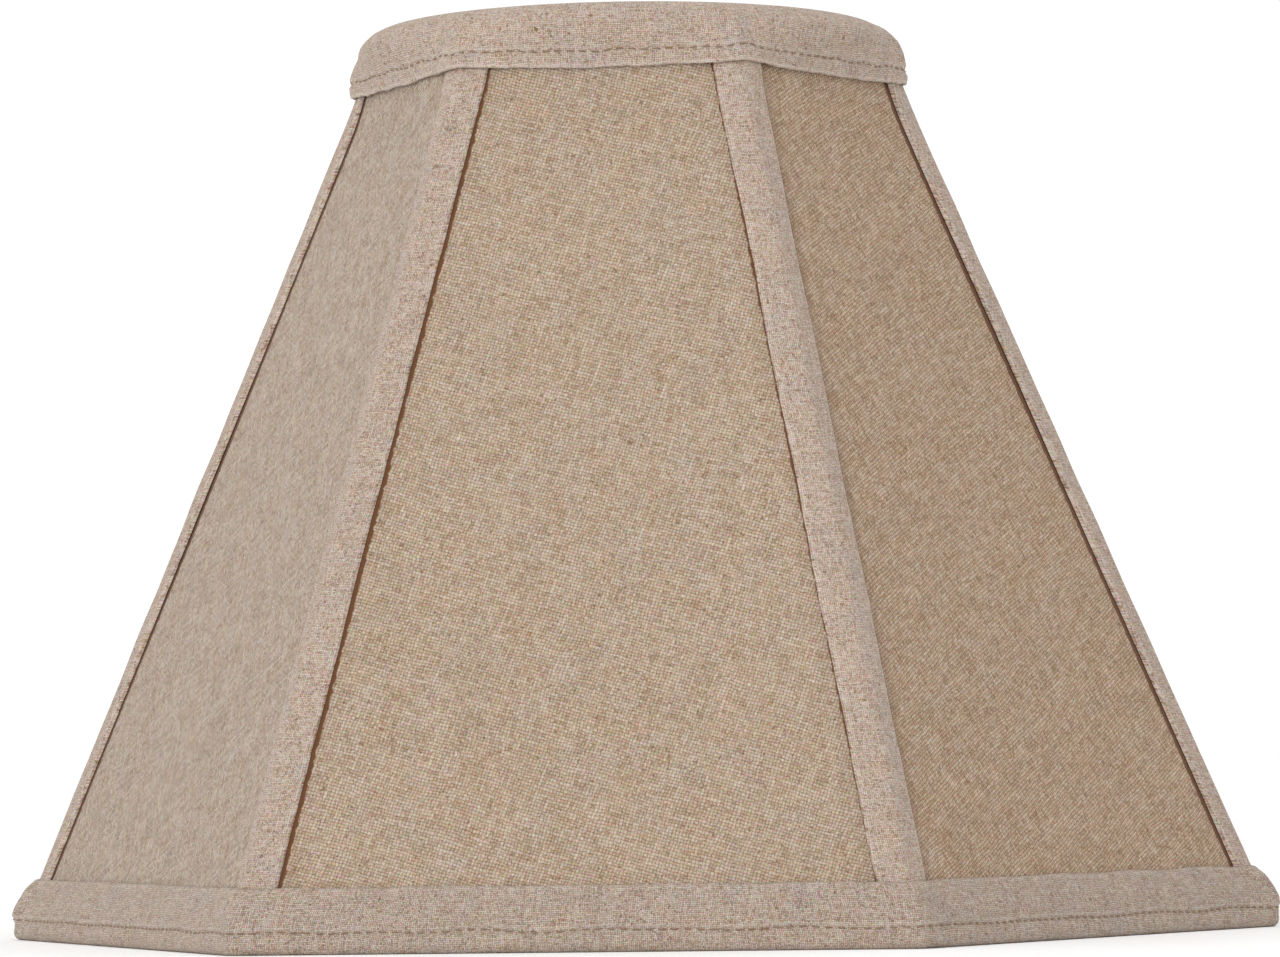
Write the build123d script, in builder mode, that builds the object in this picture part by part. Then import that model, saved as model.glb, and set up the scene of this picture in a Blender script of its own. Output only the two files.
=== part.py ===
"""Hexagonal panelled lamp shade: a wire frame with a spider fitter, six linen panels on stiff backing,
tapes over the ribs and a folded band round each rim.

The shade stands on its bottom rim. +Z is up and the origin is at the centre of the rim's plane. The
hexagon has two of its corners on the X axis and flat sides facing -Y and +Y. Sizes are in millimetres.
"""

import os
from math import atan, cos, pi, sin

from build123d import *

# ---- nominal size: 6 in top, 15 in bottom over the corners, 11.5 in along the slant ------------
inch = 25.4
top_diameter = 6 * inch
bottom_across_corners = 15 * inch  # outside of the bottom band
slant = 11.5 * inch  # along a rib, from rim to rim
height = (slant**2 - ((bottom_across_corners - top_diameter) / 2) ** 2) ** 0.5

# ---- wire frame --------------------------------------------------------------------------------
top_ring_diameter = 147.0  # outside of the round top wire, before it is covered
ring_wire = 3.0
rib_wire = 2.5
bottom_bend = 5.0  # bend radius of the hexagonal ring's corners, on the wire's centreline

# ---- spider fitter -----------------------------------------------------------------------------
washer_hole = 7 / 16 * inch  # passes the threaded stud of a harp
washer_diameter = 28.0
washer_thickness = 2.0
washer_chamfer = 0.4
washer_drop = 14.0  # from the top ring's centre down to the washer's upper face
arm_count = 3
arm_wire = 2.8
arm_bend = 6.0
arm_turn_radius = 40.0  # distance from the axis at which an arm turns down
arm_overlap = 4.5  # length of each arm lying on the washer, clear of the finial
arm_run_out = 3.0  # level length of each arm outside the washer's edge
weld_sink = 0.15  # how far the weld sinks an arm into the washer's face
arm_notch = 4.6  # width of the notches in the top band that let the arms through

# ---- covering: layer thicknesses and the slack between layers ----------------------------------
fit_gap = 0.1
backing_thickness = 0.5
linen_thickness = 0.7
tape_thickness = 0.9
band_thickness = 1.2
inside_slack = 0.5  # between the ring's wire and the inside leg of a band
flare_room = 1.36  # horizontal room for the layers where the wall leans out to meet the round ring
panel_edge_gap = 0.3
panel_foot_gap = 0.9  # from the fold of the bottom band up to the panels
turn_gap = 0.5  # from the tapes' hidden ends up to where the wall starts to turn round

# ---- trims -------------------------------------------------------------------------------------
band_width = 17.8  # height of both bands, seen from outside
flap_width = 9.5  # height of the leg folded to the inside
tape_width = 16.5  # width of a rib tape laid flat
tape_tuck = 5.0  # length of a tape hidden under the top band
tape_foot = 6.0  # level of a tape's lower end, under the bottom band
bottom_stitch_z = 5.8
top_stitch_rise = 4.4  # from the top band's lower edge to its stitches
thread = 0.5
rim_round = 2.2  # rounding of the bottom band's fold
rim_round_inside = 0.9

# ---- the hexagon -------------------------------------------------------------------------------
sides = 6
half_angle = pi / sides
corner_step = 360 / sides

# ---- layers, as offsets along the wall's normal from the surface through the wires' centres ----
backing_in = ring_wire / 2 + fit_gap
backing_out = backing_in + backing_thickness
linen_in = backing_out + fit_gap
linen_out = linen_in + linen_thickness
tape_in = linen_out + fit_gap
tape_out = tape_in + tape_thickness
band_in = tape_out + fit_gap
band_out = band_in + band_thickness
flap_out = -(ring_wire / 2 + inside_slack)
flap_in = flap_out - band_thickness

# ---- levels and radii that follow --------------------------------------------------------------
fold_inner = (band_in * flare_room - flap_out) / 2  # radius inside the fold over the top ring
fold_outer = (band_out * flare_room - flap_in) / 2
top_ring_radius = (top_ring_diameter - ring_wire) / 2
top_ring_z = height - fold_outer
bottom_ring_z = band_thickness + fit_gap + ring_wire / 2
top_band_foot = height - band_width
turn_z = top_band_foot + tape_tuck + turn_gap  # flat-sided below this level, turning round above it


def wall_slope(bottom_radius):
    """How far the ribs lean out for each millimetre down, when they start at this radius."""
    return (bottom_radius - top_ring_radius) / (top_ring_z - bottom_ring_z)


# The band's outside measures bottom_across_corners at the rim, which settles the wire inside it.
rim_corner = bottom_across_corners / 2
rib_slope = wall_slope(rim_corner)
for _ in range(8):
    tilt = atan(rib_slope * cos(half_angle))
    bottom_ring_radius = rim_corner - band_out / cos(tilt) / cos(half_angle) - rib_slope * bottom_ring_z
    rib_slope = wall_slope(bottom_ring_radius)


def apothem(z, offset):
    """Distance from the axis to the middle of a flat side at height z, on the layer with this offset."""
    corner = bottom_ring_radius - rib_slope * (z - bottom_ring_z)
    return corner * cos(half_angle) + offset / cos(tilt)


def wall(z, offset):
    """Distances from the axis to a side's middle and to its corners at height z."""
    if z <= turn_z:
        middle = apothem(z, offset)
        return middle, middle / cos(half_angle)
    middle = apothem(turn_z, offset)
    corner = middle / cos(half_angle)
    share = (z - turn_z) / (top_ring_z - turn_z)
    round_radius = top_ring_radius + offset * (flare_room if offset > 0 else 1)
    return middle + (round_radius - middle) * share, corner + (round_radius - corner) * share


def level_plane(angle, z):
    """Horizontal plane at height z whose X axis points away from the axis at this angle in degrees."""
    turn = angle * pi / 180
    return Plane(origin=(0, 0, z), x_dir=(cos(turn), sin(turn), 0), z_dir=(0, 0, 1))


def upright_plane(angle):
    """Vertical plane through the axis: X points outwards at this angle in degrees and Y is up."""
    turn = angle * pi / 180
    return Plane(origin=(0, 0, 0), x_dir=(cos(turn), sin(turn), 0), z_dir=(sin(turn), -cos(turn), 0))


def side_edge(middle, corner, half_width):
    """One edge of a side's cross-section, straight or bowed outwards."""
    chord = corner * cos(half_angle)
    if middle - chord < 1e-6:
        return Line((chord, -half_width), (chord, half_width))
    return ThreePointArc((chord, -half_width), (middle, 0), (chord, half_width))


def panel(angle, foot, offset_in, offset_out):
    """One side of a layer, from this level up to the top ring."""
    with BuildPart() as piece:
        for low, high in ((foot, turn_z), (turn_z, top_ring_z)):
            sections = []
            for z in (low, high):
                half_width = wall(z, offset_in)[1] * sin(half_angle) - panel_edge_gap
                with BuildSketch(level_plane(angle, z)) as section:
                    with BuildLine():
                        inner = side_edge(*wall(z, offset_in), half_width)
                        outer = side_edge(*wall(z, offset_out), half_width)
                        Line(inner @ 0, outer @ 0)
                        Line(inner @ 1, outer @ 1)
                    make_face()
                sections.append(section.sketch.face())
            loft(sections=sections, ruled=True)
    return piece.part


def loop_section(z, offset):
    """The whole outline of a layer at height z, as a face."""
    middle, corner = wall(z, offset)
    with BuildSketch(level_plane(0, z)) as section:
        with BuildLine():
            for k in range(sides):
                first, last = 2 * k * half_angle, 2 * (k + 1) * half_angle
                start = (corner * cos(first), corner * sin(first))
                end = (corner * cos(last), corner * sin(last))
                if middle - corner * cos(half_angle) < 1e-6:
                    Line(start, end)
                else:
                    centre = (first + last) / 2
                    ThreePointArc(start, (middle * cos(centre), middle * sin(centre)), end)
        make_face()
    return section.sketch.face()


def hexagon_corners(radius, z):
    """Corners of a level hexagon at height z, the first one on +X."""
    turns = [2 * k * half_angle for k in range(sides)]
    return [(radius * cos(turn), radius * sin(turn), z) for turn in turns]


def hexagon_route(radius, z):
    """Closed route round a hexagon at height z, from the middle of one side."""
    corners = hexagon_corners(radius, z)
    middle = tuple((a + b) / 2 for a, b in zip(corners[-1], corners[0]))
    return Polyline(middle, *corners, middle)


# ---- the wire rings ----------------------------------------------------------------------------
with BuildPart() as top_ring:
    with Locations((0, 0, top_ring_z)):
        Torus(top_ring_radius, ring_wire / 2)

with BuildPart() as bottom_ring:
    with BuildLine() as hexagon:
        corners = hexagon_corners(bottom_ring_radius, bottom_ring_z)
        FilletPolyline(*corners, radius=bottom_bend, close=True)
    with BuildSketch(Plane(origin=hexagon.line @ 0, z_dir=hexagon.line % 0)):
        Circle(ring_wire / 2)
    sweep()

# ---- the ribs, coped where they are welded to the rings ----------------------------------------
ribs = {}
foot_radius = bottom_ring_radius - bottom_bend * (1 / cos(half_angle) - 1)
for k in range(sides):
    with BuildPart() as rib:
        with BuildLine(upright_plane(corner_step * k)) as route:
            Line((foot_radius, bottom_ring_z), (top_ring_radius, top_ring_z))
        with BuildSketch(Plane(origin=route.line @ 0, z_dir=route.line % 0)):
            Circle(rib_wire / 2)
        sweep()
        add(top_ring.part, mode=Mode.SUBTRACT)
        add(bottom_ring.part, mode=Mode.SUBTRACT)
    ribs[f"rib_{k + 1}"] = rib.part

# ---- the spider: a washer for the harp's stud, and the arms that carry it ----------------------
washer_top = top_ring_z - washer_drop
with BuildPart() as fitter_washer:
    with BuildSketch(Plane.XY.offset(washer_top - washer_thickness)):
        Circle(washer_diameter / 2)
        Circle(washer_hole / 2, mode=Mode.SUBTRACT)
    extrude(amount=washer_thickness)
    outer_rims = fitter_washer.edges().filter_by(GeomType.CIRCLE).group_by(lambda e: e.radius)[-1]
    chamfer(outer_rims, length=washer_chamfer)

arms = {}
arm_seat_z = washer_top + arm_wire / 2 - weld_sink
for k in range(arm_count):
    angle = 360 / arm_count * k
    with BuildPart() as arm:
        with BuildLine(upright_plane(angle)) as route:
            FilletPolyline(
                (top_ring_radius, top_ring_z),
                (arm_turn_radius, top_ring_z),
                (washer_diameter / 2 + arm_run_out, arm_seat_z),
                (washer_diameter / 2 - arm_overlap, arm_seat_z),
                radius=arm_bend,
            )
        with BuildSketch(Plane(origin=route.line @ 0, z_dir=route.line % 0)):
            Circle(arm_wire / 2)
        sweep()
        add(top_ring.part, mode=Mode.SUBTRACT)
        add(fitter_washer.part, mode=Mode.SUBTRACT)
    arms[f"spider_arm_{k + 1}"] = arm.part

# ---- the panels: linen outside, stiff backing inside -------------------------------------------
panels = {}
panel_foot = band_thickness + panel_foot_gap
for k in range(sides):
    angle = corner_step * (k + 0.5)
    panels[f"linen_panel_{k + 1}"] = panel(angle, panel_foot, linen_in, linen_out)
    panels[f"backing_panel_{k + 1}"] = panel(angle, panel_foot, backing_in, backing_out)

# ---- the rib tapes: strips creased over each corner, tucked under both bands -------------------
tapes = {}
flange = tape_width / 2
tape_depth = tape_thickness / cos(tilt)
for k in range(sides):
    with BuildPart() as rib_tape:
        for z in (tape_foot, top_band_foot + tape_tuck):
            inner_crease = wall(z, tape_in)[1]
            outer_crease = wall(z, tape_out)[1]
            end_x = inner_crease - flange * sin(half_angle)
            end_y = flange * cos(half_angle)
            with BuildSketch(level_plane(corner_step * k, z)):
                with BuildLine():
                    Polyline(
                        (outer_crease, 0),
                        (end_x + tape_depth * cos(half_angle), end_y + tape_depth * sin(half_angle)),
                        (end_x, end_y),
                        (inner_crease, 0),
                    )
                    mirror(about=Plane.XZ)
                make_face()
        loft(ruled=True)
    tapes[f"rib_tape_{k + 1}"] = rib_tape.part

# ---- the bottom band, folded under the hexagonal ring ------------------------------------------
with BuildPart() as bottom_band:
    with BuildLine() as rim:
        hexagon_route(apothem(0, 0) / cos(half_angle), 0)
    with BuildSketch(upright_plane(-corner_step / 2)) as profile:
        with BuildLine():
            Polyline(
                (apothem(band_width, band_out), band_width),
                (apothem(0, band_out), 0),
                (apothem(0, flap_in), 0),
                (apothem(flap_width, flap_in), flap_width),
                (apothem(flap_width, flap_out), flap_width),
                (apothem(band_thickness, flap_out), band_thickness),
                (apothem(band_thickness, band_in), band_thickness),
                (apothem(band_width, band_in), band_width),
                close=True,
            )
        make_face()
        fillet(profile.vertices().group_by(Axis.Y)[0], rim_round)
        fold_level = (band_thickness - fit_gap, band_thickness + fit_gap)
        fillet(profile.vertices().filter_by_position(Axis.Y, *fold_level), rim_round_inside)
    sweep(path=rim.wire(), transition=Transition.RIGHT)

# ---- the top band, folded over the round ring, with notches for the spider's arms --------------
flap_foot = height - flap_width
inside_radius = wall(top_ring_z, flap_in)[0]
outside_levels = (top_band_foot, turn_z, top_ring_z)
inside_levels = (flap_foot, top_ring_z)
with BuildPart() as outside_leg:
    loft(sections=[loop_section(z, band_out) for z in outside_levels], ruled=True)
    loft(sections=[loop_section(z, band_in) for z in outside_levels], ruled=True, mode=Mode.SUBTRACT)
with BuildPart() as inside_leg:
    loft(sections=[loop_section(z, flap_out) for z in inside_levels], ruled=True)
    loft(sections=[loop_section(z, flap_in) for z in inside_levels], ruled=True, mode=Mode.SUBTRACT)
with BuildPart() as top_band:
    with BuildSketch(Plane.XZ):
        with Locations((inside_radius + fold_outer, top_ring_z)):
            Circle(fold_outer)
            Rectangle(2 * fold_outer, fold_outer, align=(Align.CENTER, Align.MAX), mode=Mode.SUBTRACT)
        with Locations((inside_radius + band_thickness + fold_inner, top_ring_z)):
            Circle(fold_inner, mode=Mode.SUBTRACT)
    revolve(axis=Axis.Z)
    add(outside_leg.part)
    add(inside_leg.part)
    for k in range(arm_count):
        with BuildSketch(level_plane(360 / arm_count * k, top_ring_z + arm_notch / 2)):
            with Locations((top_ring_radius, 0)):
                Rectangle(2 * fold_outer, arm_notch, align=(Align.MAX, Align.CENTER))
        extrude(amount=-2 * flap_width, mode=Mode.SUBTRACT)

# ---- the stitching, one closed line of thread on each band -------------------------------------
stitching = {}
stitch_levels = {"bottom_stitching": bottom_stitch_z, "top_stitching": top_band_foot + top_stitch_rise}
for name, z in stitch_levels.items():
    middle = apothem(z, band_out + thread / 2)
    with BuildPart() as stitch_line:
        with BuildLine() as route:
            hexagon_route(middle / cos(half_angle), z)
        with BuildSketch(upright_plane(-corner_step / 2)):
            with Locations((middle, z)):
                Circle(thread / 2)
        sweep(path=route.wire(), transition=Transition.RIGHT)
    stitching[name] = stitch_line.part

# ---- one file for each piece -------------------------------------------------------------------
pieces = {
    "top_ring": top_ring.part,
    "bottom_ring": bottom_ring.part,
    **ribs,
    "fitter_washer": fitter_washer.part,
    **arms,
    **panels,
    **tapes,
    "top_band": top_band.part,
    "bottom_band": bottom_band.part,
    **stitching,
}
os.makedirs("parts", exist_ok=True)
for name, piece in pieces.items():
    piece.label = name
    export_step(piece, f"parts/{name}.step")

print(f"height {height:.2f}, washer underside at {washer_top - washer_thickness:.2f}")
print(f"bottom ring corner {bottom_ring_radius:.2f}, rib slope {rib_slope:.4f}")
print(f"middle of the rim's flat {apothem(0, (band_out + flap_in) / 2):.2f} from the axis")
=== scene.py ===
"""Looks of the hexagonal linen lamp shade: panels, tapes, bands, stitches, wires and studio."""

from math import atan, cos, pi, radians, sin, tan

import bpy
import numpy as np
from mathutils import Matrix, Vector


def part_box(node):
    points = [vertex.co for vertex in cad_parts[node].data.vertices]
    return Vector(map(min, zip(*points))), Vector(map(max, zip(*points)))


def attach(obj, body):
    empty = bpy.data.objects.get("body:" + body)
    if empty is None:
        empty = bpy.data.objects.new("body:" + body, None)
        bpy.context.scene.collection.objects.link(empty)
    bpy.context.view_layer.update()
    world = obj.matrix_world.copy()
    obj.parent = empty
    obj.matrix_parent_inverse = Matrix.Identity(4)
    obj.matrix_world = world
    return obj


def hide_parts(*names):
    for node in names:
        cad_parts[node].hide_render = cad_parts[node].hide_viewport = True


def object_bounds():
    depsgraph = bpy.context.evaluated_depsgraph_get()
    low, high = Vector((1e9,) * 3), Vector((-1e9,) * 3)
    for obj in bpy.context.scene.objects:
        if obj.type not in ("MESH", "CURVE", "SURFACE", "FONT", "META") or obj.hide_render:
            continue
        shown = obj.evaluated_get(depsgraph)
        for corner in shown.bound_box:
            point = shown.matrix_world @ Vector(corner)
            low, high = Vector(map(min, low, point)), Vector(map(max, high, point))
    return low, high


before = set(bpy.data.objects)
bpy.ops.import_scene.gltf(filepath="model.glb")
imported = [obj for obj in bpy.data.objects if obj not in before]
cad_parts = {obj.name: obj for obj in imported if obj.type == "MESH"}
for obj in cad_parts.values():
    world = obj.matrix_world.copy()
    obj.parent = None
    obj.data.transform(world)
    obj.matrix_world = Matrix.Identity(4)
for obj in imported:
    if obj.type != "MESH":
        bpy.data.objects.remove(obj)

MM = 0.001
cad_low, cad_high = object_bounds()

# ---- the wall, read from the wires -------------------------------------------------------------
SIDES = 6
HALF = pi / SIDES
top_wire_low, top_wire_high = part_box("top_ring")
bottom_wire_low, bottom_wire_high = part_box("bottom_ring")
wire_radius = (top_wire_high.z - top_wire_low.z) / 2
top_wire_z = (top_wire_low.z + top_wire_high.z) / 2
bottom_wire_z = (bottom_wire_low.z + bottom_wire_high.z) / 2
top_radius = top_wire_high.x - wire_radius
bottom_apothem = bottom_wire_high.y - wire_radius
rib_slope = (bottom_apothem / cos(HALF) - top_radius) / (top_wire_z - bottom_wire_z)
tilt = atan(rib_slope * cos(HALF))

top_edge_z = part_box("top_band")[0].z  # lower edge of the top band
bottom_edge_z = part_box("bottom_band")[1].z  # upper edge of the bottom band
turn_z = top_edge_z - 14 * MM  # the wall is flat-sided below this level

# ---- layers, as distances outwards from the surface through the wires' centres -----------------
BACKING = (1.6 * MM, 2.1 * MM)
LINEN = (2.15 * MM, 2.85 * MM)
TAPE = (2.95 * MM, 3.95 * MM)
BAND_OUTSIDE = 5.3 * MM
ROUND_ROOM = 1.36  # how much wider the layers stand where the wall leans out to the round ring

TAPE_WIDTH = 16.5 * MM


def smooth(low, high, x):
    """0 below low, 1 above high, and an S-curve between."""
    t = np.clip((x - low) / (high - low), 0, 1)
    return t * t * (3 - 2 * t)


def bump(x, width):
    """1 at zero, falling to 0 at this distance."""
    return 1 - smooth(0, width, np.abs(x))


def ripple(u, lowest, highest, seed):
    """A random wave round the shade, about -1 to 1, with these numbers of waves in a whole turn."""
    draw = np.random.default_rng(seed)
    turn = 2 * pi * np.asarray(u, float) / SIDES
    total = np.zeros_like(turn)
    for waves in range(lowest, highest + 1):
        total += draw.normal() * np.cos(waves * turn + draw.uniform(0, 2 * pi))
    return total / (0.5 * (highest - lowest + 1)) ** 0.5 / 1.6


def cloud(x, y, size, seed, terms=14):
    """A smooth random field over the plane, about -1 to 1, with lumps of this size."""
    draw = np.random.default_rng(seed)
    total = np.zeros(np.broadcast(x, y).shape)
    for _ in range(terms):
        way, wave = draw.uniform(0, 2 * pi), 2 * pi / size * draw.uniform(0.5, 1.3)
        total += np.cos(wave * (x * cos(way) + y * sin(way)) + draw.uniform(0, 2 * pi))
    return total / (terms / 2) ** 0.5 / 1.4


def apothem(z, offset=0.0):
    """Distance from the axis to the middle of a flat side."""
    return bottom_apothem - rib_slope * cos(HALF) * (z - bottom_wire_z) + offset / cos(tilt)


def crease(offset):
    """Rounding of the corner over a rib: it grows outwards, so that the layers stay parallel."""
    return 0.4 * MM + np.maximum(offset - BACKING[0], 0)


def sixth(z, offset):
    """Length of a sixth of the outline at this level."""
    return 2 * (apothem(z, offset) - crease(offset)) * tan(HALF) + crease(offset) * 2 * HALF


def roundness(z):
    """0 where the wall is flat-sided, 1 where it has turned round to meet the top ring."""
    return np.clip((z - turn_z) / (top_wire_z - turn_z), 0, 1) ** 2


def flat_sided(u, reach, corner):
    """Points of a hexagon with rounded corners. u counts its sides, from the corner on +X."""
    straight = 2 * (reach - corner) * tan(HALF)
    whole = straight + corner * 2 * HALF
    side = np.floor(u)
    along = (u - side) * whole
    arc = corner * HALF
    on_first, on_last = along < arc, along > arc + straight
    safe = np.maximum(corner, 1e-6)
    from_last = np.where(on_last, 2 * HALF - (whole - along) / safe, HALF)
    turn = 2 * HALF * side + np.where(on_first, along / safe, from_last)
    hub = (reach - corner) / cos(HALF)
    hub_turn = 2 * HALF * (side + on_last)
    bent_x = hub * np.cos(hub_turn) + corner * np.cos(turn)
    bent_y = hub * np.sin(hub_turn) + corner * np.sin(turn)
    flat = along - arc - straight / 2
    middle_turn = 2 * HALF * side + HALF
    flat_x = reach * np.cos(middle_turn) - flat * np.sin(middle_turn)
    flat_y = reach * np.sin(middle_turn) + flat * np.cos(middle_turn)
    bent = on_first | on_last
    return np.where(bent, bent_x, flat_x), np.where(bent, bent_y, flat_y)


def outline(u, z, offset):
    """Points on the wall. u counts the sides round, from the corner on +X."""
    u, z, offset = np.broadcast_arrays(u, z, offset)
    x, y = flat_sided(u, apothem(z, offset), crease(offset))
    ring = apothem(z) / cos(HALF) + offset * np.where(offset > 0, ROUND_ROOM, 1.0)
    share = roundness(z)
    x = (1 - share) * x + share * ring * np.cos(2 * HALF * u)
    y = (1 - share) * y + share * ring * np.sin(2 * HALF * u)
    return np.stack([x, y, z + 0 * x], axis=-1)


def mesh_piece(name, points, faces, flat, material, replaces=()):
    """A piece from points and quads. flat gives each quad's corners their place on the cloth."""
    points = points.reshape(-1, 3)
    a, b, c, d = (points[faces[:, k]] for k in range(4))
    if np.einsum("ij,ij->i", a, np.cross(b, c) + np.cross(c, d)).sum() < 0:
        faces, flat = faces[:, ::-1], flat[:, ::-1]
    mesh = bpy.data.meshes.new(name)
    mesh.from_pydata(points.tolist(), [], faces.tolist())
    cloth = mesh.attributes.new("cloth", "FLOAT_VECTOR", "CORNER")
    cloth.data.foreach_set("vector", np.ascontiguousarray(flat, dtype=np.float32).ravel())
    mesh.shade_smooth()
    mesh.materials.append(material)
    piece = bpy.data.objects.new(name, mesh)
    bpy.context.scene.collection.objects.link(piece)
    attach(piece, "root")
    if replaces:
        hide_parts(*replaces)
    return piece


def mark(piece, name, values):
    """Keeps one number for each point of a piece, for its material."""
    numbers = np.ascontiguousarray(values, dtype=np.float32).ravel()
    piece.data.attributes.new(name, "FLOAT", "POINT").data.foreach_set("value", numbers)


def dye_and_shade(piece, colour, speckle):
    """Gives a piece of linen its colour, painted light and shade included where the given colour
    carries them, and its strength of speckle.
    """
    colours = np.tile(np.array(colour, dtype=np.float32), len(piece.data.vertices))
    piece.data.attributes.new("dye_and_shade", "FLOAT_VECTOR", "POINT").data.foreach_set("vector", colours)
    mark(piece, "speckle", np.full(len(piece.data.vertices), speckle))


def quads_between(first, second):
    """Quads that join two rows of point numbers."""
    return np.stack([first[:-1], first[1:], second[1:], second[:-1]], axis=-1)


def slab(front, back):
    """Points and quads of a closed sheet between two grids of points."""
    rows, columns = front.shape[:2]
    number = np.arange(rows * columns).reshape(rows, columns)
    far = number + rows * columns
    faces = [quads_between(number[k], number[k + 1]) for k in range(rows - 1)]
    faces += [quads_between(far[k + 1], far[k]) for k in range(rows - 1)]
    faces += [quads_between(far[0], number[0]), quads_between(number[-1], far[-1])]
    faces += [quads_between(number[:, 0], far[:, 0]), quads_between(far[:, -1], number[:, -1])]
    return np.concatenate([front.reshape(-1, 3), back.reshape(-1, 3)]), np.concatenate(faces)


def cloth_values(faces, across, along, extra=0.0):
    """The place on the cloth of each corner of a slab's quads, from two grids of distances."""
    across, along, extra = np.broadcast_arrays(across, along, extra)
    place = np.stack([across, along, extra], axis=-1).reshape(-1, 3)
    return place[faces % len(place)]


# ---- materials ---------------------------------------------------------------------------------
class Graph:
    """A material's nodes, built by short calls."""

    def __init__(self, name, roughness, sheen=0.0, metallic=0.0):
        self.material = bpy.data.materials.new(name)
        self.material.use_nodes = True
        self.tree = self.material.node_tree
        self.shader = self.tree.nodes["Principled BSDF"]
        self.shader.inputs["Roughness"].default_value = roughness
        self.shader.inputs["Metallic"].default_value = metallic
        self.shader.inputs["Sheen Weight"].default_value = sheen
        self.shader.inputs["Sheen Roughness"].default_value = 0.5
        self.shader.inputs["Specular IOR Level"].default_value = 0.3

    def put(self, node, socket, value):
        """Links or sets one input."""
        if isinstance(value, bpy.types.NodeSocket):
            self.tree.links.new(value, node.inputs[socket])
        elif value is not None:
            node.inputs[socket].default_value = value

    def math(self, operation, first, second=None, third=None):
        node = self.tree.nodes.new("ShaderNodeMath")
        node.operation = operation
        for socket, value in enumerate((first, second, third)):
            self.put(node, socket, value)
        return node.outputs[0]

    def vector(self, operation, first, second=None):
        node = self.tree.nodes.new("ShaderNodeVectorMath")
        node.operation = operation
        self.put(node, 0, first)
        self.put(node, "Scale" if operation == "SCALE" else 1, second)
        return node.outputs[0]

    def split(self, value):
        node = self.tree.nodes.new("ShaderNodeSeparateXYZ")
        self.put(node, 0, value)
        return node.outputs

    def join(self, x, y, z=0.0):
        node = self.tree.nodes.new("ShaderNodeCombineXYZ")
        for socket, value in enumerate((x, y, z)):
            self.put(node, socket, value)
        return node.outputs[0]

    def attribute(self, name, output="Vector"):
        node = self.tree.nodes.new("ShaderNodeAttribute")
        node.attribute_name = name
        return node.outputs[output]

    def place(self):
        return self.tree.nodes.new("ShaderNodeTexCoord").outputs["Object"]

    def noise(self, vector, scale, detail=2.0, output="Fac"):
        node = self.tree.nodes.new("ShaderNodeTexNoise")
        self.put(node, "Vector", vector)
        node.inputs["Scale"].default_value = scale
        node.inputs["Detail"].default_value = detail
        return node.outputs[output]

    def white(self, vector):
        node = self.tree.nodes.new("ShaderNodeTexWhiteNoise")
        self.put(node, "Vector", vector)
        return node.outputs["Value"]

    def range(self, value, low, high, to_low=0.0, to_high=1.0, easy=True):
        node = self.tree.nodes.new("ShaderNodeMapRange")
        node.interpolation_type = "SMOOTHSTEP" if easy else "LINEAR"
        self.put(node, "Value", value)
        limits = {"From Min": low, "From Max": high, "To Min": to_low, "To Max": to_high}
        for socket, number in limits.items():
            node.inputs[socket].default_value = number
        return node.outputs[0]

    def blend(self, share, first, second, mode="MIX"):
        node = self.tree.nodes.new("ShaderNodeMix")
        node.data_type = "RGBA"
        node.blend_type = mode
        self.put(node, "Factor", share)
        for socket, value in ((6, first), (7, second)):
            self.put(node, socket, (*value, 1.0) if isinstance(value, tuple) else value)
        return node.outputs[2]

    def relief(self, height, distance, strength=1.0, under=None):
        node = self.tree.nodes.new("ShaderNodeBump")
        node.inputs["Distance"].default_value = distance
        node.inputs["Strength"].default_value = strength
        self.put(node, "Height", height)
        self.put(node, "Normal", under)
        return node.outputs[0]

    def finish(self, colour, normal=None):
        self.put(self.shader, "Base Color", (*colour, 1.0) if isinstance(colour, tuple) else colour)
        self.put(self.shader, "Normal", normal)
        return self.material


# Brown of the husk specks, also used for the painted shade beside the tapes, and brown of the
# painted gap shadow along the tapes' edges.
SPECK_AND_SHADE_BROWN, GAP_SHADOW_BROWN = (0.16, 0.085, 0.04), (0.13, 0.052, 0.019)


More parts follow.
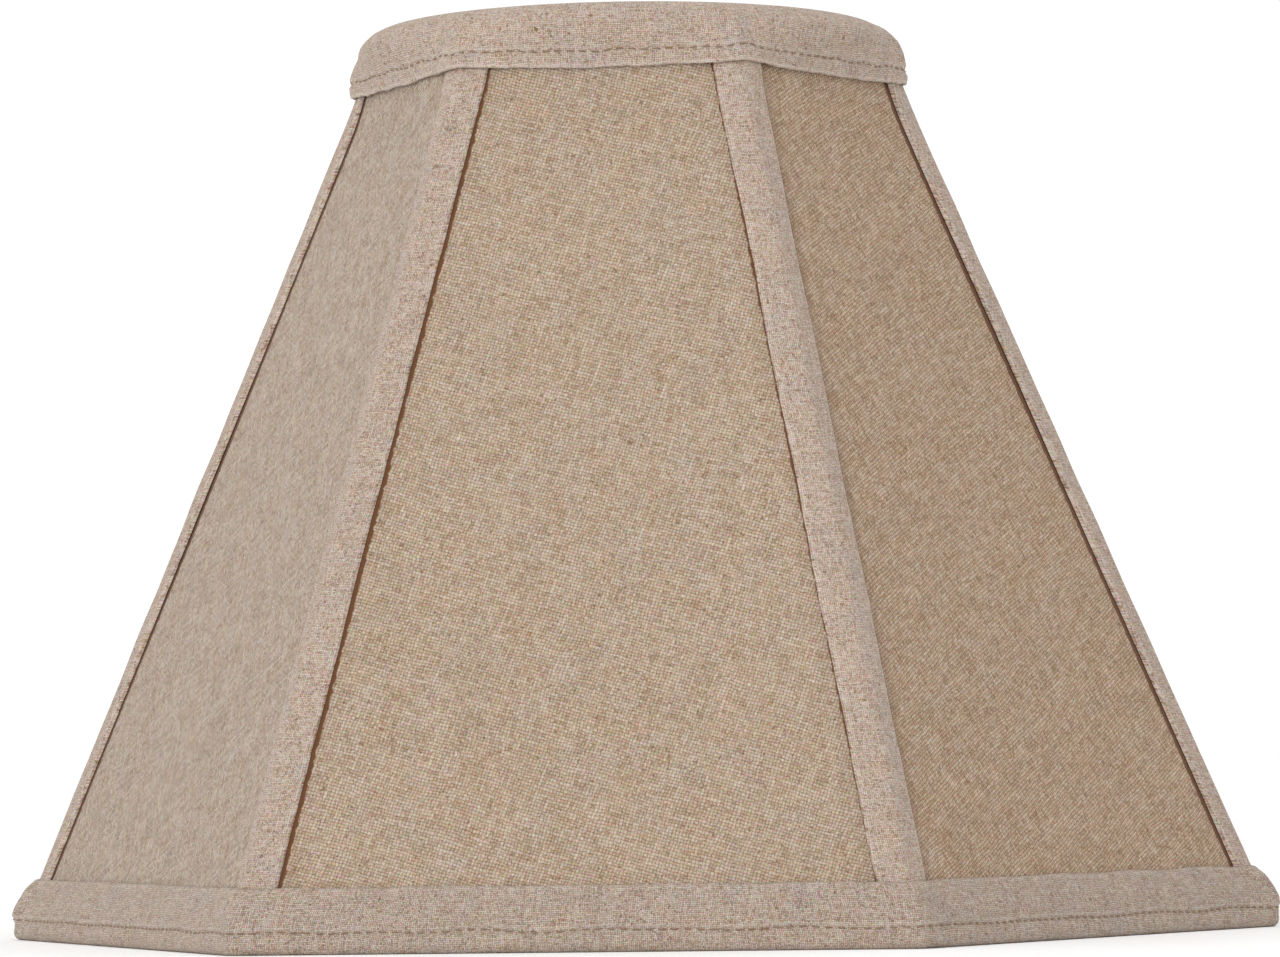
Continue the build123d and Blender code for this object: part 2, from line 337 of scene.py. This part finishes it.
def weave(g, cloth, pitch):
    """Plain weave of uneven yarns: (bent place on the cloth, the same in yarns, height, lightness).
    The lightness holds random yarn colour, painted shade between the yarns and painted highlight on
    them.
    """
    bend = g.vector("SUBTRACT", g.noise(cloth, 40, 3, "Color"), (0.5, 0.5, 0.5))
    jitter = g.vector("SUBTRACT", g.noise(cloth, 420, 2, "Color"), (0.5, 0.5, 0.5))
    moved = g.vector("ADD", g.vector("SCALE", bend, 3.0 * MM), g.vector("SCALE", jitter, 0.58 * MM))
    place = g.vector("ADD", cloth, moved)
    x, y, _ = g.split(g.vector("SCALE", place, 1 / pitch))
    warp_number, weft_number = g.math("FLOOR", x), g.math("FLOOR", y)
    warp_round = g.math("SINE", g.math("MULTIPLY", g.math("FRACT", x), pi))
    weft_round = g.math("SINE", g.math("MULTIPLY", g.math("FRACT", y), pi))
    weft_over = g.math("PINGPONG", g.math("ADD", warp_number, weft_number), 1.0)
    warp_over = g.math("SUBTRACT", 1.0, weft_over)
    warp_place = g.join(g.math("MULTIPLY", warp_number, 3.7), g.math("MULTIPLY", y, 0.11))
    weft_place = g.join(g.math("MULTIPLY", x, 0.11), g.math("MULTIPLY", weft_number, 3.7), 9.0)
    warp_tone, weft_tone = g.noise(warp_place, 1.0, 2), g.noise(weft_place, 1.0, 2)
    warp = g.math("MULTIPLY", warp_round, g.math("MULTIPLY_ADD", weft_round, 0.45, 0.55))
    weft = g.math("MULTIPLY", weft_round, g.math("MULTIPLY_ADD", warp_round, 0.45, 0.55))
    warp = g.math("MULTIPLY", warp, g.range(warp_tone, 0.3, 0.7, 0.7, 1.3))
    weft = g.math("MULTIPLY", weft, g.range(weft_tone, 0.3, 0.7, 0.7, 1.3))
    height = g.math("ADD", g.math("MULTIPLY", warp, warp_over), g.math("MULTIPLY", weft, weft_over))
    cell = g.white(g.join(warp_number, weft_number, 3.0))
    grit = g.noise(cloth, 1 / (0.42 * MM), 1)
    tone_and_painted_light = g.math("MULTIPLY_ADD", g.math("ADD", warp_tone, weft_tone), 0.4, -0.4)
    tone_and_painted_light = g.math("ADD", tone_and_painted_light, g.math("MULTIPLY_ADD", cell, 0.4, -0.2))
    # Painted shade and highlight: darker in the hollows between the yarns and paler on their
    # crowns, following the weave's height.
    tone_and_painted_light = g.math("ADD", tone_and_painted_light, g.math("MULTIPLY_ADD", height, 0.9, -0.58))
    tone_and_painted_light = g.math("ADD", tone_and_painted_light, g.math("MULTIPLY_ADD", grit, 1.3, -0.65))
    return place, x, y, height, tone_and_painted_light


def specks(g, place, x, y):
    """Where husk left in the yarn shows rust-brown, and where a pale fibre lies on top."""
    blob = g.noise(g.vector("ADD", place, (0.31, 0.17, 0.0)), 1 / (2.1 * MM), 3)
    thread = g.noise(g.join(g.math("MULTIPLY", x, 0.12), g.math("MULTIPLY", y, 0.5), 4.0), 1.0, 3)
    dot = g.noise(g.vector("ADD", place, (0.7, 0.4, 0.0)), 1 / (1.2 * MM), 1)
    speck = g.math("MAXIMUM", g.range(blob, 0.70, 0.77), g.range(thread, 0.75, 0.81))
    speck = g.math("MAXIMUM", speck, g.range(dot, 0.67, 0.75))
    lint = g.noise(g.join(g.math("MULTIPLY", x, 0.42), g.math("MULTIPLY", y, 0.16), 7.0), 1.0, 3)
    nep = g.noise(place, 1 / (1.7 * MM), 3)
    return speck, g.math("MAXIMUM", g.range(nep, 0.73, 0.79), g.range(lint, 0.74, 0.8))


def beside_tape(g, cloth, colour):
    """A panel's colour, with painted shade beside the tapes and a brown line along their edges that
    is partly painted gap shadow.
    """
    reach, ragged = g.attribute("edge_reach", "Fac"), g.noise(cloth, 300, 3)
    # Painted shade cast by the tape onto the panel beside it, fading out over about 6.5 mm.
    shade = g.range(g.math("MULTIPLY_ADD", ragged, 1.5 * MM, reach), 0.5 * MM, 6.5 * MM, 0.42, 0.0)
    shade = g.math("MULTIPLY", shade, g.attribute("edge_shade", "Fac"))
    colour = g.blend(shade, colour, SPECK_AND_SHADE_BROWN)
    # Painted gap shadow with a brown line along each tape's edge, as wide as that edge's given gap.
    torn = g.math("MULTIPLY_ADD", g.noise(cloth, 420, 2), 1.6 * MM, g.math("ADD", reach, -0.8 * MM))
    beyond = g.math("SUBTRACT", torn, g.attribute("edge_gap_shadow", "Fac"))
    return g.blend(g.range(beyond, -0.2 * MM, 0.25 * MM, 1.0, 0.0), colour, GAP_SHADOW_BROWN)


def linen(name, pitch, relief, panel=False):
    """Plain-woven linen: yarns of uneven thickness and colour, rust-brown specks, pale flecks."""
    g = Graph(name, roughness=0.92, sheen=0.1)
    cloth = g.attribute("cloth")
    place, x, y, height, tone_and_painted_light = weave(g, cloth, pitch)
    tone_and_painted_light = g.math("MULTIPLY", tone_and_painted_light, g.attribute("speckle", "Fac"))
    base = g.attribute("dye_and_shade")
    if not panel:
        cool = g.range(g.noise(cloth, 90, 3), 0.45, 0.75, 0.0, 0.4)
        base = g.blend(cool, base, g.blend(1.0, base, (0.88, 0.94, 1.03), "MULTIPLY"))
        # Painted highlight: the trims are paler along their folded edges and just above the
        # stitches.
        tone_and_painted_light = g.math("MULTIPLY_ADD", g.attribute("painted_highlight", "Fac"), 0.3, tone_and_painted_light)
    warmth = g.range(g.noise(cloth, 1 / (7 * MM), 2), 0.35, 0.65)
    warm = g.blend(warmth, (0.984, 1.0, 1.03), (1.016, 1.0, 0.97))
    colour = g.blend(1.0, base, warm, "MULTIPLY")
    fibres = g.vector("SUBTRACT", g.noise(place, 1 / (0.6 * MM), 1, "Color"), (0.5, 0.5, 0.5))
    fibres = g.vector("ADD", g.vector("SCALE", fibres, 0.8), (1.0, 1.0, 1.0))
    colour = g.blend(1.0, colour, fibres, "MULTIPLY")
    # Darker brown where the lightness is low and paler where it is high: random yarn colour, with
    # painted shade in the weave's hollows and painted highlight on its crowns and folded edges.
    rust = g.blend(1.0, colour, (0.45, 0.36, 0.26), "MULTIPLY")
    pale = g.blend(0.4, colour, (0.80, 0.75, 0.69))
    colour = g.blend(g.range(tone_and_painted_light, -0.5, 0.0, 1.0, 0.0, easy=False), colour, rust)
    colour = g.blend(g.range(tone_and_painted_light, 0.0, 0.5, easy=False), colour, pale)
    speck, fleck = specks(g, place, x, y)
    colour = g.blend(g.math("MULTIPLY", speck, 0.7), colour, SPECK_AND_SHADE_BROWN)
    colour = g.blend(g.math("MULTIPLY", fleck, 0.65), colour, (0.72, 0.68, 0.62))
    if panel:
        colour = beside_tape(g, cloth, colour)
    height = g.math("ADD", height, g.math("MULTIPLY", speck, 0.4))
    return g.finish(colour, g.relief(height, relief, 0.8))


def coated_wire():
    """White powder coating on steel wire."""
    g = Graph("white_coating", roughness=0.38)
    grain = g.noise(g.place(), 900, 3)
    dull = g.range(g.noise(g.place(), 40, 3), 0.3, 0.7, 0.92, 1.0)
    colour = g.blend(1.0, (0.80, 0.79, 0.75), g.join(dull, dull, dull), "MULTIPLY")
    return g.finish(colour, g.relief(grain, 0.08 * MM, 0.35))


def brass():
    """Brass-plated washer, brushed lightly and dulled in patches."""
    g = Graph("brass_plate", roughness=0.3, metallic=1.0)
    x, y, z = g.split(g.place())
    radius = g.math("POWER", g.math("ADD", g.math("MULTIPLY", x, x), g.math("MULTIPLY", y, y)), 0.5)
    turning = g.noise(g.join(g.math("MULTIPLY", radius, 4000), 0.0, 0.0), 1.0, 2)
    patch = g.noise(g.place(), 120, 3)
    colour = g.blend(g.range(patch, 0.35, 0.65), (0.72, 0.50, 0.22), (0.60, 0.40, 0.17))
    return g.finish(colour, g.relief(turning, 0.05 * MM, 0.4))


def styrene():
    """Matte white sheet with a faint pebbled face."""
    g = Graph("white_styrene", roughness=0.55)
    pebble = g.noise(g.place(), 1500, 2)
    soft = g.range(g.noise(g.place(), 18, 3), 0.3, 0.7, 0.95, 1.0)
    colour = g.blend(1.0, (0.80, 0.78, 0.72), g.join(soft, soft, soft), "MULTIPLY")
    return g.finish(colour, g.relief(pebble, 0.06 * MM, 0.3))


def sewing_thread():
    """Two-ply thread, darker than the linen."""
    g = Graph("sewing_thread", roughness=0.85, sheen=0.1)
    along, around, _ = g.split(g.attribute("cloth"))
    twist = g.math("MULTIPLY_ADD", around, 2.0, g.math("MULTIPLY", along, 2 * pi / (1.1 * MM)))
    ply = g.math("SINE", twist)
    colour = g.blend(g.range(ply, -1, 1), (0.195, 0.122, 0.073), (0.32, 0.22, 0.148))
    return g.finish(colour, g.relief(ply, 0.08 * MM, 0.6))


PANEL_LINEN = linen("panel_linen", pitch=0.95 * MM, relief=0.26 * MM, panel=True)
TRIM_LINEN = linen("trim_linen", pitch=0.5 * MM, relief=0.16 * MM)
STYRENE, WIRE, BRASS, THREAD = styrene(), coated_wire(), brass(), sewing_thread()


# ---- the panels --------------------------------------------------------------------------------
# How wide a brown line of painted gap shadow shows beside the tapes along each panel's edges, in
# millimetres, and how strongly the tape's painted shade falls on the panel: (first edge, last
# edge), counted anticlockwise from above. Each tape lies close on one side and stands off on the
# other.
GAPS = [(0.3, 1.3), (0.4, 1.2), (0.2, 1.1), (1.35, 0.0), (0.95, 0.35), (0.3, 1.6)]
SHADES = [(0.6, 0.2), (0.5, 0.3), (0.3, 0.3), (0.2, 0.1), (0.2, 0.4), (1.0, 0.2)]
WIDE_GAP = 1.2  # a gap this wide goes with a tape edge that stands off fully
GRAIN = [25, -15, 8, 62, 17, -24]  # degrees that the weave is turned on each panel
# Each side's linen colour. Besides small random differences, these carry painted light and shade:
# the fourth side (towards -X and -Y) is painted greyer as a lit side, the sixth (towards +X and -Y)
# darker and more saturated as a shaded side.
PANEL_DYES_AND_SHADE = [
    (0.396, 0.29, 0.205), (0.386, 0.29, 0.21), (0.396, 0.303, 0.225),
    (0.394, 0.31, 0.241), (0.405, 0.307, 0.223), (0.398, 0.277, 0.178),
]
PANEL_SPECKLES = [0.7, 0.65, 0.62, 0.72, 0.6, 0.72]
# The tapes and bands are one linen: the top band's colour is painted lighter, as painted light, and
# the bottom band's darker, as painted shade.
TAPE_DYE = (0.466, 0.363, 0.295)
BOTTOM_DYE_PAINTED_SHADE = (0.411, 0.323, 0.262)
TOP_DYE_PAINTED_LIGHT = (0.476, 0.374, 0.306)
TRIM_SPECKLE = 0.82
# The third number of a piece's place on the cloth: no two pieces of linen share their marks.
TAPE_CLOTH, BAND_CLOTH = 10, 20.0


PANEL_ROWS, TAPE_ROWS = 120, 130
PANEL_TURN_IN = 0.5 * MM  # how far the sheets reach below the bottom ring's middle
SLACK, SLACK_CHANGE = -0.35 * MM, 0.3 * MM  # a panel's hollow at its middle, and how much it varies


def slack(side, u, z):
    """How far a panel lies in or out of its flat, from its own tension: nothing at the ribs."""
    share = (z - bottom_wire_z) / (top_wire_z - bottom_wire_z)
    across = np.clip(1 - (2 * (u - side) - 1) ** 2, 0, 1)
    up = np.clip(np.sin(pi * np.clip(share, 0, 1)), 0, 1)
    return across * up * (SLACK + SLACK_CHANGE * cloud((u - side) * 0.15, z, 0.09, 40 + side))


def panel_columns(half_width):
    """Distances across a panel from its middle, close together beside the tapes."""
    beside = np.array([0.3, 4, 7, 7.7, 8.2, 8.7, 9.2, 10, 11, 13]) * MM
    middle = np.linspace(-1, 1, 48)[None, 1:-1] * (half_width - beside[-1])
    return np.concatenate([beside - half_width, middle, half_width - beside[::-1]], axis=1)


def panel(name, side, layer, material, slot, replaces):
    """One side's sheet, from crease to crease and from rim to rim."""
    z = np.linspace(bottom_wire_z - PANEL_TURN_IN, top_wire_z, PANEL_ROWS)[:, None]
    half_width = sixth(z, layer[1]) / 2
    across = panel_columns(half_width)
    u = side + 0.5 + across / (2 * half_width)
    inner, outer = (outline(u, z, offset + slack(side, u, z)) for offset in layer)
    up = (z - bottom_wire_z) / cos(tilt) + 0 * u
    points, faces = slab(outer, inner)
    turn = radians(GRAIN[side])
    weft_way, warp_way = across * cos(turn) - up * sin(turn), across * sin(turn) + up * cos(turn)
    flat = cloth_values(faces, weft_way, warp_way, side)
    piece = mesh_piece(name, points, faces, flat, material, replaces)
    return piece, half_width, across


def edge_marks(piece, side, half_width, across):
    """Tells the linen where each tape's edge lies and how the panel shows beside it."""
    from_tape = np.clip(half_width - TAPE_WIDTH / 2 - np.abs(across), -2 * MM, 20 * MM)
    first = across < 0
    mark(piece, "edge_reach", np.tile(from_tape.ravel(), 2))
    mark(piece, "edge_gap_shadow", np.tile(np.where(first, *GAPS[side]).ravel(), 2) * MM)
    mark(piece, "edge_shade", np.tile(np.where(first, *SHADES[side]).ravel(), 2))
    dye_and_shade(piece, PANEL_DYES_AND_SHADE[side], PANEL_SPECKLES[side])


for side in range(SIDES):
    sheet, half_width, across = panel(
        f"linen_sheet_{side + 1}", side, LINEN, PANEL_LINEN, "linen", [f"linen_panel_{side + 1}"]
    )
    edge_marks(sheet, side, half_width, across)
    backed = [f"backing_panel_{side + 1}"]
    panel(f"backing_sheet_{side + 1}", side, BACKING, STYRENE, "backing", backed)


# ---- the tapes over the ribs -------------------------------------------------------------------
TUCK_BELOW, TUCK_ABOVE = 11 * MM, 4.5 * MM  # how far the tapes run under the two bands
TIGHT_TURN, OPEN_TURN = 3.2 * MM, 0.7 * MM  # radius of an edge that lies close or stands off


def tape(k):
    """A strip creased over one rib, its edges turned under, lying close where its gap is faint."""
    z = np.linspace(bottom_edge_z - TUCK_BELOW, top_edge_z + TUCK_ABOVE, TAPE_ROWS)[:, None]
    edge = np.array([0, 0.08, 0.22, 0.42, 0.7, 1.1, 1.6, 2.2, 3.0, 4.0]) * MM
    half = TAPE_WIDTH / 2
    q = np.concatenate([edge - half, np.linspace(-3.6, 3.6, 15) * MM, half - edge[::-1]])[None, :]
    gap = np.minimum(np.where(q < 0, GAPS[(k - 1) % SIDES][1], GAPS[k][0]) / WIDE_GAP, 1)
    inside = half - np.abs(q)
    turned = (1 - gap) * TIGHT_TURN + gap * OPEN_TURN
    full = np.sqrt(1 - (1 - np.clip(inside / turned, 0, 1)) ** 2)
    lift = gap * 0.15 * MM * bump(inside, 4 * MM)
    bead = 0.22 * MM * gap * bump(inside - 1.7 * MM, 1.6 * MM)
    rough = 0.09 * MM * cloud(q, z, 24 * MM, 70 + k)
    back = TAPE[0] + lift + 0 * z
    front = back + (0.06 * MM + (TAPE[1] - TAPE[0] + bead) * full) + rough * full
    sway = 0.2 * MM * cloud(0.0, z, 70 * MM, 90 + k) + 0.07 * MM * cloud(0.0, z, 12 * MM, 130 + k)
    shift = q + np.sign(q) * sway * np.abs(q) / half
    grids = [outline(k + shift / sixth(z, offset), z, offset) for offset in (front, back)]
    points, faces = slab(*grids)
    flat = cloth_values(faces, q + 0 * z, (z + 0 * q) / cos(tilt), TAPE_CLOTH + k)
    replaced = [f"rib_tape_{k + 1}"]
    piece = mesh_piece(f"folded_tape_{k + 1}", points, faces, flat, TRIM_LINEN, replaced)
    # Painted highlight along the tape's turned edges.
    mark(piece, "painted_highlight", np.tile((0.35 * bump(inside - 0.7 * MM, 0.9 * MM) + 0 * z).ravel(), 2))
    dye_and_shade(piece, TAPE_DYE, TRIM_SPECKLE)


for k in range(SIDES):
    tape(k)


# ---- the bands ---------------------------------------------------------------------------------
# Each band's section in millimetres: distance outwards from the wires, and height above its level.
# The list follows the outside, goes over the fold, along the inside leg and back on the face that
# is hidden.
BOTTOM_SECTION = [
    (4.3, 17.7), (4.9, 17.9), (5.35, 17.5), (5.6, 16.2), (5.85, 13.6), (5.95, 11), (5.9, 8.6),
    (5.7, 7.1), (5.25, 6.0), (5.45, 4.9), (5.5, 3.7), (5.2, 2.3), (4.4, 1.0), (3.4, 0.25),
    (2.3, 0.0), (1.0, 0.0), (-0.6, 0.0), (-2.0, 0.3), (-3.2, 1.2), (-3.7, 2.7), (-3.65, 4.6),
    (-3.45, 7), (-3.3, 9), (-2.95, 9.6), (-2.3, 9.5), (-2.05, 8.6), (-2.0, 5.6), (-1.9, 3.2),
    (-1.2, 1.7), (0.8, 1.25), (2.4, 1.45), (3.6, 2.5), (4.05, 4.5), (4.05, 9), (4.05, 14),
]
TOP_SECTION = [
    (4.3, 0.1), (4.9, -0.1), (5.35, 0.25), (5.65, 1.5), (5.7, 3.0), (5.25, 4.4), (5.7, 5.8),
    (5.9, 8), (6.0, 10.4), (5.85, 12.6), (5.3, 14.7), (4.3, 16.4), (3.0, 17.5), (1.3, 17.8),
    (-0.4, 17.5), (-2.0, 16.5), (-3.1, 14.8), (-3.4, 12.6), (-3.35, 10.5), (-3.2, 8.8),
    (-2.7, 8.3), (-2.1, 8.7), (-2.0, 11), (-2.0, 13), (-1.4, 15), (0.2, 16.4), (1.8, 16.2),
    (3.1, 15.2), (3.9, 13), (4.05, 10), (4.05, 6), (4.05, 2.5),
]
# How each band lies: the level of its free edge and of its stitches, the seed of its ripples, how
# far the pleat over a rib stands out, and how far the free edge hangs down between the ribs.
BOTTOM_STITCH, TOP_STITCH = 6.0 * MM, top_edge_z + 4.4 * MM
BOTTOM_LIE = dict(free_edge=bottom_edge_z, stitch=BOTTOM_STITCH, seed=3, bulk=1.3 * MM, droop=0)
TOP_LIE = dict(free_edge=top_edge_z, stitch=TOP_STITCH, seed=23, bulk=0.5 * MM, droop=1.2 * MM)
PRESS = 1.05 * MM  # how far the free edges settle onto the linen between the tapes


def closed_curve(points, steps):
    """A smooth closed line through these points, with this many steps from one to the next."""
    points = np.array(points)[:, None, :] * MM
    t = (np.arange(steps) / steps)[None, :, None]
    p0, p1, p2, p3 = (np.roll(points, shift, 0) for shift in (1, 0, -1, -2))
    m1, m2 = (p2 - p0) / 2, (p3 - p1) / 2
    first = (2 * t**3 - 3 * t**2 + 1) * p1 + (t**3 - 2 * t**2 + t) * m1
    last = (3 * t**2 - 2 * t**3) * p2 + (t**3 - t**2) * m2
    return (first + last).reshape(-1, 2)


def band_shape(u, offset, z, free_edge, stitch, seed, bulk, droop):
    """Where the hand-folded cloth lies, not its plain section: (distance outwards, height)."""
    outside = smooth(3.5 * MM, 5.0 * MM, offset)
    shown = np.broadcast_to(outside, np.broadcast(u, z).shape)
    by_edge, by_stitch = bump(z - free_edge, 7 * MM), bump(z - stitch, 4.5 * MM)
    corner_way = (u - np.round(u)) * sixth(z, offset)
    lean = corner_way + 0.9 * (z - stitch) - 2.0 * MM  # across the mitre's fold
    fold = smooth(-1.0 * MM, 0.6 * MM, lean) * (1 - smooth(0.6 * MM, 6.5 * MM, lean))
    mid_outside = smooth(0, 3 * MM, np.abs(z - free_edge)) * shown
    out = 0.16 * MM * ripple(u, 20, 60, seed) * shown
    out = out + 0.10 * MM * ripple(u, 110, 190, seed + 1) * by_stitch * shown
    out = out + 0.75 * MM * fold * mid_outside
    out = out + bulk * bump(corner_way, 9 * MM) * mid_outside * smooth(3 * MM, 7 * MM, z)
    past_tape = smooth(TAPE_WIDTH / 2 - 1 * MM, TAPE_WIDTH / 2 + 7 * MM, np.abs(corner_way))
    out = out - PRESS * past_tape * bump(z - free_edge, 9 * MM) * smooth(2.9 * MM, 3.6 * MM, offset)
    rise = 0.2 * MM * ripple(u, 10, 34, seed + 2) * by_edge * shown
    rise = rise + 0.08 * MM * ripple(u, 60, 130, seed + 3) * by_edge * shown
    rise = rise + 0.27 * MM * ripple(u, 14, 44, seed + 4) * by_stitch * shown
    rise = rise - droop * np.sin(pi * (u % 1)) * bump(z - free_edge, 14 * MM) * shown
    return offset + out, z + rise


def band(name, node, section, level, lie, columns, colour, edge_highlight):
    """A strip folded over a rim all the way round."""
    profile = closed_curve(section, steps=3)
    u = (np.arange(columns) / columns * SIDES)[:, None]
    offset, z = profile[None, :, 0], level + profile[None, :, 1]
    lies_at, lies_up = band_shape(u, offset, z, **lie)
    points = outline(u, lies_up, lies_at)
    number = np.arange(points.shape[0] * points.shape[1]).reshape(points.shape[:2])
    right, after = np.roll(number, -1, 0), np.roll(number, -1, 1)
    faces = np.stack([number, right, np.roll(right, -1, 1), after], axis=-1).reshape(-1, 4)
    step = np.linalg.norm(np.roll(profile, -1, 0) - profile, axis=1)
    down = np.concatenate([[0], np.cumsum(step)])
    run = sixth(level, BAND_OUTSIDE) * SIDES / columns
    i, j = np.divmod(np.arange(len(faces)), len(profile))
    along = np.stack([i, i + 1, i + 1, i], axis=-1) * run
    across = np.stack([down[j], down[j], down[j + 1], down[j + 1]], axis=-1)
    flat = np.stack([along, across, np.full_like(along, BAND_CLOTH + lie["seed"])], axis=-1)
    piece = mesh_piece(name, points, faces, flat, TRIM_LINEN, [node])
    # Painted highlight along the fold of the free edge and just above the stitch line.
    by_edge = bump(np.abs(z - lie["free_edge"]) - 0.5 * MM, 0.8 * MM)
    by_stitch = bump(z - lie["stitch"] - 1.0 * MM, 0.7 * MM)
    highlit = (edge_highlight * by_edge + 0.6 * by_stitch) * smooth(4.6 * MM, 5.2 * MM, offset)
    mark(piece, "painted_highlight", highlit + 0 * u)
    dye_and_shade(piece, colour, TRIM_SPECKLE)


STITCH_LENGTH, STITCH_GAP, THREAD_RADIUS = 2.7 * MM, 0.75 * MM, 0.24 * MM
GROOVE = 5.25 * MM  # how far out from the wires the stitches hold the cloth
STAND, DIP = 0.14 * MM, 0.34 * MM  # a stitch's middle above the groove, its ends below that


def stitches(name, node, lie):
    """A line of machine stitches round a band, each dipping into the cloth at its ends."""
    whole = sixth(lie["stitch"], GROOVE) * SIDES
    count = int(whole / (STITCH_LENGTH + STITCH_GAP))
    rings, around = 9, 8
    t = np.linspace(-1, 1, rings)[None, :]
    draw = np.random.default_rng(lie["seed"] + 7)
    length = STITCH_LENGTH * draw.uniform(0.88, 1.08, (count, 1))
    u = (np.arange(count)[:, None] + 0.5) / count * SIDES + t * length / 2 / whole * SIDES
    slant = draw.normal(0, 0.07 * MM, (count, 1)) * t
    offset, z = band_shape(u, GROOVE, lie["stitch"] + 0 * u, **lie)
    middle = outline(u, z + slant, offset + STAND - DIP * np.abs(t) ** 3)
    out = outline(u, z + slant, offset + 1 * MM) - outline(u, z + slant, offset)
    out /= np.linalg.norm(out, axis=-1, keepdims=True)
    ahead = np.gradient(middle, axis=1)
    ahead /= np.linalg.norm(ahead, axis=-1, keepdims=True)
    aside = np.cross(out, ahead)
    thick = THREAD_RADIUS * np.sqrt(1 - 0.97 * np.abs(t) ** 5)[..., None]
    turn = 2 * pi * np.arange(around) / around
    shell = middle[:, :, None] + thick[..., None] * (
        out[:, :, None] * np.cos(turn)[:, None] + aside[:, :, None] * np.sin(turn)[:, None]
    )
    number = np.arange(rings * around).reshape(rings, around)
    ring = np.roll(number, -1, 1)
    faces = np.stack([number[:-1], ring[:-1], ring[1:], number[1:]], axis=-1).reshape(-1, 4)
    thirds = np.array([[0, 1, 2, 3], [0, 3, 4, 7], [4, 5, 6, 7]])
    single = np.concatenate([faces, number[0][thirds[:, ::-1]], number[-1][thirds]])
    all_faces = (single[None] + (np.arange(count) * rings * around)[:, None, None]).reshape(-1, 4)
    ring_of, spoke = np.divmod(all_faces % (rings * around), around)
    along = ring_of / (rings - 1) * STITCH_LENGTH
    flat = np.stack([along, spoke * 2 * pi / around, 0.0 * spoke], axis=-1)
    mesh_piece(name, shell, all_faces, flat, THREAD, [node])


band(
    "hem_bottom", "bottom_band", BOTTOM_SECTION, level=0, lie=BOTTOM_LIE, columns=840,
    colour=BOTTOM_DYE_PAINTED_SHADE, edge_highlight=0.2,
)
band(
    "hem_top", "top_band", TOP_SECTION, level=top_edge_z, lie=TOP_LIE, columns=480,
    colour=TOP_DYE_PAINTED_LIGHT, edge_highlight=0.9,
)
stitches("stitches_bottom", "bottom_stitching", BOTTOM_LIE)
stitches("stitches_top", "top_stitching", TOP_LIE)

# ---- the frame keeps its CAD shape and gets its finish -----------------------------------------
wires = ["top_ring", "bottom_ring", *(f"rib_{k + 1}" for k in range(SIDES))]
wires += [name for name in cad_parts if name.startswith("spider_arm_")]
for name in [*wires, "fitter_washer"]:
    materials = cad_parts[name].data.materials
    materials.clear()
    materials.append(BRASS if name == "fitter_washer" else WIRE)


# ---- studio ------------------------------------------------------------------------------------
def camera():
    """A long-lens view from low down and slightly right of the front panel."""
    distance, height, azimuth = 1.7425, 0.0535, radians(6.28)
    pitch, roll, yaw = radians(2.683), radians(0.804), radians(-0.07)
    data = bpy.data.cameras.new("camera")
    data.sensor_width, data.lens = 36.0, 164.6
    data.clip_start, data.clip_end = 0.05, 100
    eye = bpy.data.objects.new("camera", data)
    place = Matrix.Translation((distance * sin(azimuth), -distance * cos(azimuth), height))
    aim = Matrix.Rotation(azimuth + yaw, 4, "Z") @ Matrix.Rotation(pitch, 4, "X")
    eye.matrix_world = place @ aim @ Matrix.Rotation(roll, 4, "Y") @ Matrix.Rotation(pi / 2, 4, "X")
    bpy.context.scene.collection.objects.link(eye)
    bpy.context.scene.camera = eye


def softbox(name, azimuth, elevation, distance, width, height, watts):
    """An area light that faces the middle of the shade."""
    data = bpy.data.lights.new(name, "AREA")
    data.shape, data.size, data.size_y = "RECTANGLE", width, height
    data.energy = watts
    lamp = bpy.data.objects.new(name, data)
    a, e = radians(azimuth), radians(elevation)
    turn = Matrix.Rotation(a, 4, "Z") @ Matrix.Rotation(pi / 2 - e, 4, "X")
    middle = Matrix.Translation((0, 0, (cad_low.z + cad_high.z) / 2))
    lamp.matrix_world = middle @ turn @ Matrix.Translation((0, 0, distance))
    bpy.context.scene.collection.objects.link(lamp)


def floor():
    """A wide pale floor."""
    g = Graph("pale_floor", roughness=0.8)
    g.finish((0.96, 0.96, 0.96))
    half = 30.0
    corners = [(-half, -half, 0), (half, -half, 0), (half, half, 0), (-half, half, 0)]
    mesh = bpy.data.meshes.new("floor")
    mesh.from_pydata(corners, [], [(0, 1, 2, 3)])
    mesh.materials.append(g.material)
    ground = bpy.data.objects.new("floor", mesh)
    bpy.context.scene.collection.objects.link(ground)


def surroundings():
    """A white room that lights the shade evenly."""
    world = bpy.data.worlds.new("studio")
    bpy.context.scene.world = world
    world.use_nodes = True
    background = world.node_tree.nodes["Background"]
    background.inputs["Color"].default_value = (1.0, 1.0, 1.0, 1.0)
    background.inputs["Strength"].default_value = 1.04


camera()
surroundings()
floor()
softbox("key", azimuth=-20, elevation=16, distance=2.2, width=1.0, height=1.0, watts=15)
bpy.context.scene.view_settings.view_transform = "Standard"
